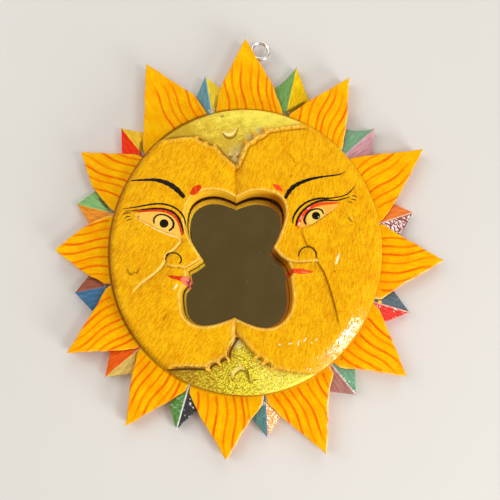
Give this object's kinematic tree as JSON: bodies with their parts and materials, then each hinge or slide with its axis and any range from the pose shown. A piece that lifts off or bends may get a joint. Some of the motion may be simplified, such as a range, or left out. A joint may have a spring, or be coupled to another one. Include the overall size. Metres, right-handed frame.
{
  "type": "wall mirror",
  "caption": "Carved and painted wooden wall mirror: a sun with rays around a disc on which two facing moons frame the mirror with their profiles, with a screw eye to hang it.",
  "frame": {"origin": "centre of the disc on the flat back", "axes": "+Z out of the face, +Y to the top ray, +X to the right of the face"},
  "size_m": [0.1801, 0.2, 0.0185],
  "materials": {
    "sun_gold": "metallic gold paint on carved wood",
    "moon_ochre": "ochre paint on carved wood, satin",
    "ray_orange": "yellow orange paint with brushed stripes, satin",
    "ray_green": "green paint, satin",
    "ray_salmon": "salmon orange paint, satin",
    "ray_blue": "blue paint, satin",
    "ray_maroon": "maroon paint, satin",
    "ray_red": "red paint, satin",
    "bare_board": "unpainted thin board",
    "mirror": "silvered glass",
    "steel": "bright plated steel wire"
  },
  "bodies": {
    "root": {"sun_disc": "sun_gold", "left_moon": "moon_ochre", "right_moon": "moon_ochre", "mirror_glass": "mirror", "back_panel": "bare_board", "eye_screw": "steel", "long_ray_01": "ray_orange", "long_ray_02": "ray_orange", "long_ray_03": "ray_orange", "long_ray_04": "ray_orange", "long_ray_05": "ray_orange", "long_ray_06": "ray_orange", "long_ray_07": "ray_orange", "long_ray_08": "ray_orange", "long_ray_09": "ray_orange", "long_ray_10": "ray_orange", "long_ray_11": "ray_orange", "long_ray_12": "ray_orange", "short_ray_01": "ray_green", "short_ray_02": "ray_green", "short_ray_03": "ray_salmon", "short_ray_04": "ray_blue", "short_ray_05": "ray_green", "short_ray_06": "ray_blue", "short_ray_07": "ray_green", "short_ray_08": "ray_salmon", "short_ray_09": "ray_maroon", "short_ray_10": "ray_green", "short_ray_11": "ray_red", "short_ray_12": "ray_blue"}
  },
  "joints": []
}
